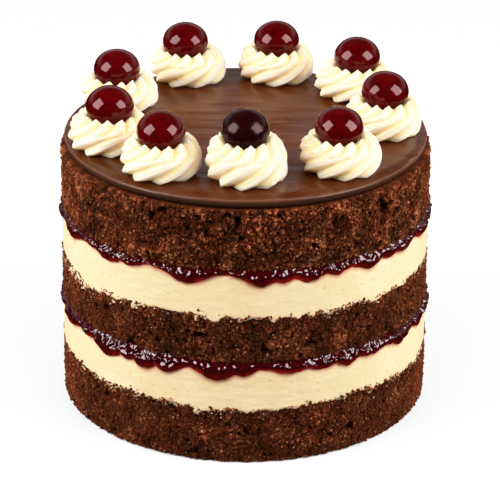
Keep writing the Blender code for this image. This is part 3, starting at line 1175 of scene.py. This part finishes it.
# Soft fills that no gloss shows: (name, bearing, rise in degrees, power)
FILLS = (
    ("fill_back", 180, 42, 5.0),
    ("fill_front", 0, 58, 5.8),
    ("fill_left", -104, 22, 8.4),
    ("fill_right", 104, 22, 8.0),
)
FLOOR_RADIUS = 12.0
FLOOR_LEVEL = -0.0002
FLOOR_TONE = 0.80  # grey of the floor to look at, of what it throws back and of what the gloss shows of it
FLOOR_BOUNCE = 0.30
FLOOR_GLEAM = 0.005
FLOOR_GLOW = 0.10
WORLD_GLOW = 0.04
SWEEP_GLOW = 0.56
# Where the studio changes: from its front to its back by Y, and at the sweep's top and foot by Z
SWEEP_SPAN = (-0.05, 0.45)
SWEEP_TOP = (0.56, 0.34)
SWEEP_FOOT = (0.08, 0.28)
FOOT_SHARE = 0.12  # share of the glow that is left under the sweep's foot
WHITE_LEVEL = 1.5  # brightness that is shown as plain white
# Tones between black and that white: (brightness, what it is shown as)
SHOULDER = (
    (0.15, 0.15),
    (0.3, 0.3),
    (0.5, 0.5),
    (0.65, 0.65),
    (0.78, 0.77),
    (0.90, 0.865),
    (1.0, 0.925),
    (1.2, 0.98),
)


def towards(bearing, rise):
    """A direction from the cake, at a bearing and a rise in radians."""
    return Vector((sin(bearing) * cos(rise), -cos(bearing) * cos(rise), sin(rise)))


def set_up(name, data, aim, away, distance, roll):
    """Stands a light or a camera at a distance from the point that it faces, rolled about its own axis."""
    thing = bpy.data.objects.new(name, data)
    bpy.context.scene.collection.objects.link(thing)
    face = away.to_track_quat("Z", "Y").to_matrix().to_4x4()
    thing.matrix_world = Matrix.Translation(aim + away * distance) @ face @ Matrix.Rotation(roll, 4, "Z")
    return thing


def add_light(name, bearing, rise, turn, power):
    data = bpy.data.lights.new(name, "AREA")
    data.shape = "RECTANGLE"
    data.size = LIGHT_WIDTH
    data.size_y = LIGHT_LENGTH
    data.energy = power
    away = towards(radians(bearing), radians(rise))
    return set_up(name, data, LIGHT_AIM, away, LIGHT_DISTANCE, radians(turn))


def add_camera():
    data = bpy.data.cameras.new("camera")
    data.lens = CAMERA_LENS
    data.sensor_width = 36
    away = Vector((0, -cos(CAMERA_RISE), sin(CAMERA_RISE)))
    bpy.context.scene.camera = set_up("camera", data, CAMERA_AIM, away, CAMERA_DISTANCE, CAMERA_ROLL)


def floor_material():
    """White to look at, and dimmer in what it throws back, as a lit sweep behind a dark table is."""
    material, tree, seen = new_material("floor")
    looks = {
        "Base Color": grey(FLOOR_TONE),
        "Roughness": 0.9,
        "Specular IOR Level": 0.0,
        "Emission Color": grey(1.0),
        "Emission Strength": FLOOR_GLOW,
    }
    feed(tree, seen, looks)
    ray = tree.nodes.new("ShaderNodeLightPath").outputs
    bounce, gleam = [tree.nodes.new("ShaderNodeBsdfDiffuse") for _ in range(2)]
    feed(tree, bounce, {"Color": grey(FLOOR_BOUNCE)})
    feed(tree, gleam, {"Color": grey(FLOOR_GLEAM)})
    unseen, mix = [tree.nodes.new("ShaderNodeMixShader") for _ in range(2)]
    feed(tree, unseen, {0: ray["Is Glossy Ray"], 1: bounce.outputs[0], 2: gleam.outputs[0]})
    feed(tree, mix, {0: ray["Is Camera Ray"], 1: unseen.outputs[0], 2: seen.outputs[0]})
    feed(tree, tree.nodes["Material Output"], {"Surface": mix.outputs[0]})
    return material


def add_math(tree, operation, first, second):
    node = tree.nodes.new("ShaderNodeMath")
    node.operation = operation
    feed(tree, node, {0: first, 1: second})
    return node.outputs[0]


def add_world():
    """A studio that is dark in front and overhead, with a pale sweep behind, and plain white to look at."""
    world = bpy.data.worlds.new("studio")
    bpy.context.scene.world = world
    world.use_nodes = True
    tree = world.node_tree
    place, split = tree.nodes.new("ShaderNodeTexCoord"), tree.nodes.new("ShaderNodeSeparateXYZ")
    feed(tree, split, {0: place.outputs["Generated"]})
    back, up = split.outputs["Y"], split.outputs["Z"]
    glow = add_span(tree, back, *SWEEP_SPAN, WORLD_GLOW, SWEEP_GLOW)
    glow = add_math(tree, "MULTIPLY", glow, add_span(tree, up, *SWEEP_TOP, WORLD_GLOW / SWEEP_GLOW))
    glow = add_math(tree, "MULTIPLY", glow, add_span(tree, up, *SWEEP_FOOT, FOOT_SHARE))
    seen = tree.nodes.new("ShaderNodeLightPath").outputs["Is Camera Ray"]
    white = add_math(tree, "MULTIPLY", seen, WHITE_LEVEL)
    strength = add_math(tree, "MAXIMUM", glow, white)
    feed(tree, tree.nodes["Background"], {"Color": grey(1.0), "Strength": strength})


def soften_highlights(view):
    """Rolls the brightest tones off gently, as film does, and leaves the others alone."""
    view.view_transform = "Standard"
    view.use_curve_mapping = True
    curves = view.curve_mapping
    curves.white_level = (WHITE_LEVEL,) * 3
    tones = curves.curves[3]
    for seen, shown in SHOULDER:
        tones.points.new(seen / WHITE_LEVEL, shown)
    curves.update()


class CAKE_OT_stage(bpy.types.Operator):
    """Builds the floor, the light and the camera"""

    bl_idname = "cake.stage"
    bl_label = "Stage"

    def execute(self, context):
        scene = context.scene
        bm = bmesh.new()
        bmesh.ops.create_circle(bm, cap_ends=True, radius=FLOOR_RADIUS, segments=96)
        bmesh.ops.translate(bm, verts=bm.verts, vec=(0, 0, FLOOR_LEVEL))
        mesh = bpy.data.meshes.new("floor")
        bm.to_mesh(mesh)
        bm.free()
        mesh.materials.append(floor_material())
        floor = bpy.data.objects.new("floor", mesh)
        scene.collection.objects.link(floor)
        bearing, rise, turn, power = SOFTBOX
        add_light("softbox_right", bearing, rise, turn, power)
        add_light("softbox_left", -bearing, rise, -turn, power)
        for name, bearing, rise, power in FILLS:
            add_light(name, bearing, rise, 0, power).visible_glossy = False
        add_world()
        add_camera()
        soften_highlights(scene.view_settings)
        return {"FINISHED"}


# ---------------------------------------------------------------- panel and registration

OPERATORS = (
    CAKE_OT_sponges,
    CAKE_OT_creams,
    CAKE_OT_jams,
    CAKE_OT_ganache,
    CAKE_OT_swirls,
    CAKE_OT_cherries,
    CAKE_OT_stage,
)


class CAKE_PT_panel(bpy.types.Panel):
    bl_label = "Black Forest Cake"
    bl_idname = "CAKE_PT_panel"
    bl_space_type = "VIEW_3D"
    bl_region_type = "UI"
    bl_category = "Cake"

    def draw(self, context):
        for settings in (context.scene.cake_sizes, context.scene.cake_colours):
            for name in settings.__annotations__:
                self.layout.prop(settings, name)
        for operator in OPERATORS:
            self.layout.operator(operator.bl_idname)


CLASSES = (CakeSizes, CakeColours, *OPERATORS, CAKE_PT_panel)


def register():
    for item in CLASSES:
        bpy.utils.register_class(item)
    bpy.types.Scene.cake_sizes = PointerProperty(type=CakeSizes)
    bpy.types.Scene.cake_colours = PointerProperty(type=CakeColours)


def unregister():
    del bpy.types.Scene.cake_colours
    del bpy.types.Scene.cake_sizes
    for item in reversed(CLASSES):
        bpy.utils.unregister_class(item)


def main():
    register()
    bpy.ops.cake.sponges()
    bpy.ops.cake.creams()
    bpy.ops.cake.jams()
    bpy.ops.cake.ganache()
    bpy.ops.cake.swirls()
    bpy.ops.cake.cherries()
    bpy.ops.cake.stage()


if __name__ == "__main__":
    main()
